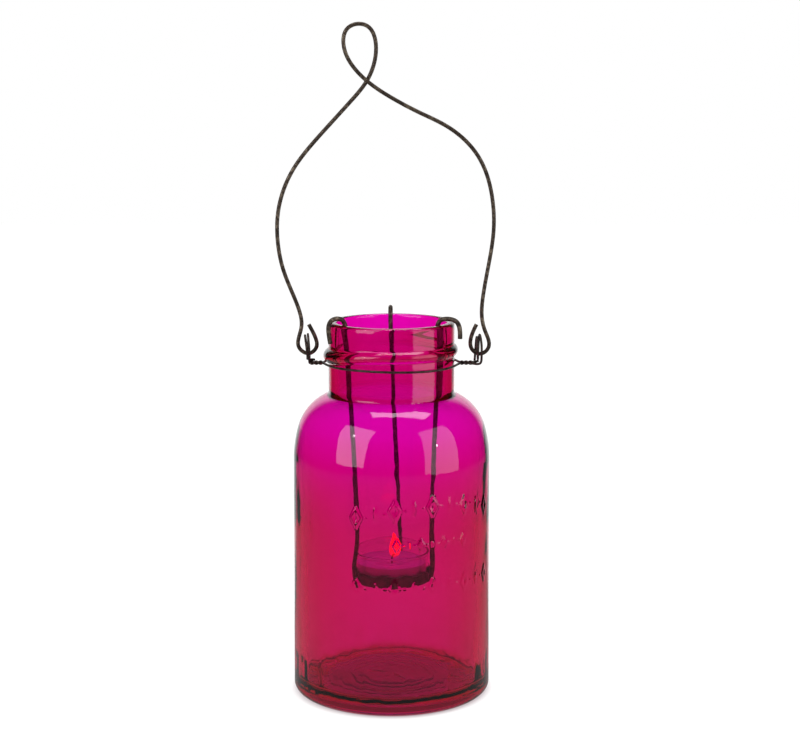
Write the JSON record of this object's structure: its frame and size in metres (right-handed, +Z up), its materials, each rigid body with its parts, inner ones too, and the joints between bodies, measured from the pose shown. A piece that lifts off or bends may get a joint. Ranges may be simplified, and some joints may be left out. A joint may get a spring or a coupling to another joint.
{
  "type": "mason jar lantern",
  "caption": "Coloured glass jar lantern with a hung wire tealight holder, a wire neck collar and a swinging bent-wire bail for hanging or carrying.",
  "frame": {"origin": "centre of the jar's base ring, on the surface it stands on", "axes": "+Z up along the jar's axis, +X towards the bail's right-hand hook with the loop of the bail leaning to -X, -Y to the front"},
  "size_m": [0.1097, 0.1, 0.3368],
  "materials": {
    "coloured_glass": "clear magenta moulded glass",
    "annealed_wire": "dark oxidised steel wire",
    "darkened_tin": "dark oxidised sheet steel",
    "clear_plastic": "clear moulded plastic",
    "wax": "translucent white wax",
    "bright_tin": "bright thin sheet",
    "cotton": "charred braided cotton"
  },
  "bodies": {
    "jar": {"glass_jar": "coloured_glass", "collar_wire_front": "annealed_wire", "collar_wire_back": "annealed_wire"},
    "bail": {"bail_handle": "annealed_wire"},
    "holder": {"hanger_wire_back": "annealed_wire", "hanger_wire_left": "annealed_wire", "hanger_wire_right": "annealed_wire", "holder_dish": "darkened_tin"},
    "tealight": {"tealight_cup": "clear_plastic", "tealight_wax": "wax", "wick_sustainer": "bright_tin", "wick": "cotton"}
  },
  "joints": [
    {"name": "bail_swing", "type": "hinge", "parent": "jar", "child": "bail", "pos_m": [0, 0, 0.173], "axis": [1, 0, 0], "range_deg": [-140, 140]},
    {"name": "holder_lift", "type": "slide", "parent": "jar", "child": "holder", "axis": [0, 0, 1], "range_m": [0, 0.135]},
    {"name": "tealight_lift", "type": "slide", "parent": "holder", "child": "tealight", "axis": [0, 0, 1], "range_m": [0, 0.132]}
  ]
}
